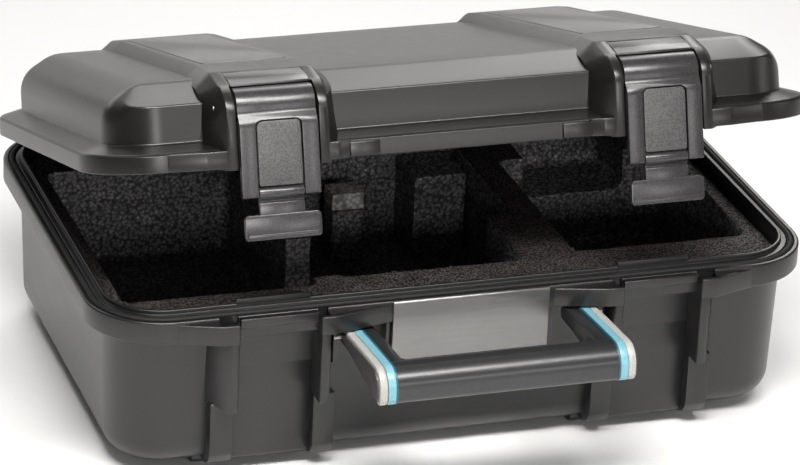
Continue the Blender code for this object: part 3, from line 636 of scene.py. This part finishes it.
def foam_piece(name, bm, node, mats, body, voxel, rough, lid=False, top=None):
    """Cut foam: remeshed evenly so its edges soften, then its cells stand out as small lumps and pits."""
    obj = scratch(bm)
    mod = obj.modifiers.new("cells", "REMESH")
    mod.mode = "VOXEL"
    mod.voxel_size = voxel
    graph = bpy.context.evaluated_depsgraph_get()
    mesh = bpy.data.meshes.new_from_object(obj.evaluated_get(graph))
    bpy.data.objects.remove(obj)
    made = bmesh.new()
    made.from_mesh(mesh)
    bmesh.ops.smooth_vert(made, verts=made.verts, factor=0.5, use_axis_x=True, use_axis_y=True,
                          use_axis_z=True)
    made.normal_update()
    shifts = []
    for vertex in made.verts:
        p = vertex.co
        wide = noise.noise(p * 0.05) * 0.6
        cells = noise.voronoi(p * 0.30)[0]
        lumps = (cells[1] - cells[0]) * 1.7 - 0.7 + noise.noise(p * 0.6) * 0.5
        calm = 0.3 if vertex.normal.z > 0.85 and top and p.z > top - 3.0 else 1.0
        shifts.append(vertex.normal * ((wide + lumps) * rough * calm - 0.5 * rough))
    for vertex, shift in zip(made.verts, shifts):
        vertex.co += shift
    # upward faces near the top height take the second, darker material: painted shade on the foam tops
    if top:
        for face in made.faces:
            face.material_index = 1 if face.normal.z > 0.85 and face.calc_center_median().z > top - 3.0 else 0
    whole = piece(name, [made], mats, body, [node], lid=lid, smooth=80.0)


def foams():
    cut = tray(WIDTH, DEPTH, RIM_R, [(34.0, 10.6), (26.0, 12.8), (21.0, 19.0), (19.0, 26.0), (17.9, 60.0),
                                     (16.6, 111.0), (18.0, TOP_Z + 0.4)], 12)
    sizes = ((-222.0, -91.0, -112.0, 104.0, BAY_Z), (-72.0, 56.0, -104.0, 104.0, BAY_Z),
             (40.0, 74.0, -30.0, 104.0, BAY_Z), (-100.0, -60.0, -100.0, -40.0, 70.0),
             (96.0, 219.0, -99.0, 58.0, BAY_Z), (116.0, 190.0, 40.0, 112.0, 82.0))
    bays = [block(*size, OVER, 5.0) for size in sizes]
    foam_piece("tray_foam", boolean(cut, bays), "base_foam", [FOAM_PAINTED_GLINT, FOAM_TOP_PAINTED_SHADE], "base",
               1.4, 1.0, top=TOP_Z)
    posts = (("foam_post_left", (-216.0, -200.0, -60.0, -44.0, 42.3, 66.0)),
             ("foam_post_middle", (-30.0, -14.0, -40.0, -20.0, 42.3, 66.0)),
             ("foam_rest_middle", (34.0, 73.6, 60.0, 103.6, 42.3, 104.0)),
             ("foam_post_back", (-26.0, -2.0, 62.0, 84.0, 42.3, 82.0)))
    for node, size in posts:
        foam_piece(node + "_cut", block(*size), node, [FOAM_PAINTED_GLINT], "base", 1.1, 0.7)
    foam_piece("foam_pale_cut", block(-26.0, -2.0, 62.0, 84.0, 82.3, 95.0), "foam_pale_block", [PALE],
               "base", 1.1, 0.35)
    lid = tray(LID_W, LID_D, LID_R, [(31.0, 124.0), (29.0, 126.0), (28.0, 150.0), (34.0, 163.0), (45.0,
                                                                                                  168.0)], 12)
    foam_piece("lid_foam_cut", lid, "lid_foam", [FOAM_PAINTED_GLINT], "lid", 2.4, 0.9, lid=True)


base_shell()
base_trim()
lid_shell()
for side, tag in SIDES:
    lid_trim(side, tag)
    latch(side, tag)
handle()
foams()
for name, obj in frame["nodes"].items():
    if "pin" in name:
        obj.data.materials.clear()
        obj.data.materials.append(STEEL)


# ---------------------------------------------------------------- floor, lights and camera
def stage_floor():
    mat, nodes, links, shader = new_material("studio_floor")
    cloud = noise_node(nodes, links, 2.0, 3.0, 0.5)
    links.new(ramp(nodes, links, cloud.outputs["Fac"], [(0.3, (0.86, 0.86, 0.86)), (0.7, (0.9, 0.9, 0.9))]),
              shader.inputs["Base Color"])
    shader.inputs["Roughness"].default_value = 0.6
    bm = bmesh.new()
    bmesh.ops.create_grid(bm, x_segments=1, y_segments=1, size=6.0)
    mesh = bpy.data.meshes.new("floor")
    bm.to_mesh(mesh)
    bm.free()
    mesh.materials.append(mat)
    floor = bpy.data.objects.new("floor", mesh)
    floor.location.z = -0.0005
    bpy.context.scene.collection.objects.link(floor)


WARM = (1.0, 0.985, 0.965)
# name, place, aim, panel size (metres), power (watts), spread (degrees)
LIGHTS = (
    ("floor_left", (-0.85, -0.75, 0.90), (-0.85, -0.75, 0.0), (0.4, 0.4), 2.2, 80.0),
    ("back_high", (0.00, 1.80, 1.95), (0.00, 0.20, 0.10), (2.40, 0.80), 19.1, 180.0),
    ("back_right", (1.30, 1.90, 1.40), (0.00, 0.00, 0.10), (0.80, 0.60), 10.7, 180.0),
    ("back_mid", (0.00, 2.50, 0.65), (0.00, 0.30, 0.15), (3.00, 0.50), 10.1, 180.0),
    ("back_top", (0.00, 1.30, 1.90), (0.00, 0.10, 0.10), (1.80, 0.60), 7.6, 180.0),
    ("front", (-0.38, -2.68, 0.83), (0.00, 0.00, 0.12), (0.35, 0.30), 12.7, 180.0),
    ("front_right", (0.70, -2.50, 0.60), (0.00, 0.00, 0.12), (0.50, 0.40), 4.5, 180.0),
    ("right", (2.20, -0.90, 0.80), (0.00, 0.00, 0.10), (1.00, 0.80), 5.4, 180.0),
    ("high_front", (-0.30, -0.70, 1.30), (-0.10, -0.10, 0.10), (0.70, 0.35), 5.4, 90.0),
    ("high_edge", (0.25, -0.80, 1.15), (-0.05, -0.10, 0.15), (0.30, 0.30), 2.3, 100.0),
)


def area_light(name, place, target, size, power, colour, spread):
    light = bpy.data.lights.new(name, "AREA")
    light.spread = math.radians(spread)
    light.shape = "RECTANGLE"
    light.size, light.size_y = size
    light.energy = power
    light.color = colour
    obj = bpy.data.objects.new(name, light)
    obj.location = place
    obj.rotation_euler = (Vector(target) - Vector(place)).to_track_quat("-Z", "Y").to_euler()
    bpy.context.scene.collection.objects.link(obj)


def studio():
    stage_floor()
    world = bpy.data.worlds.new("studio")
    world.use_nodes = True
    world.node_tree.nodes["Background"].inputs["Color"].default_value = (1.0, 0.99, 0.97, 1.0)
    world.node_tree.nodes["Background"].inputs["Strength"].default_value = 0.09
    bpy.context.scene.world = world
    bpy.context.scene.view_settings.view_transform = "Standard"
    for name, place, target, size, power, spread in LIGHTS:
        area_light(name, place, target, size, power, WARM, spread)


def camera():
    """Long lens, slightly rolled, looking down on the front left."""
    azimuth, elevation, roll = math.radians(-18.96), math.radians(24.16), math.radians(2.65)
    back = Vector((math.sin(azimuth) * math.cos(elevation), -math.cos(azimuth) * math.cos(elevation),
                   math.sin(elevation)))
    right = (-back).cross(Vector((0, 0, 1))).normalized()
    up = right.cross(-back)
    across = right * math.cos(roll) + up * math.sin(roll)
    above = up * math.cos(roll) - right * math.sin(roll)
    turn = Matrix((across, above, back)).transposed().to_4x4()
    data = bpy.data.cameras.new("camera")
    data.sensor_width = 36.0
    data.lens = 186.2
    data.clip_end = 50.0
    obj = bpy.data.objects.new("camera", data)
    obj.matrix_world = Matrix.Translation(TO_WORLD @ Vector((-846.87, -2477.11, 1265.73))) @ turn
    bpy.context.scene.collection.objects.link(obj)
    bpy.context.scene.camera = obj


studio()
camera()
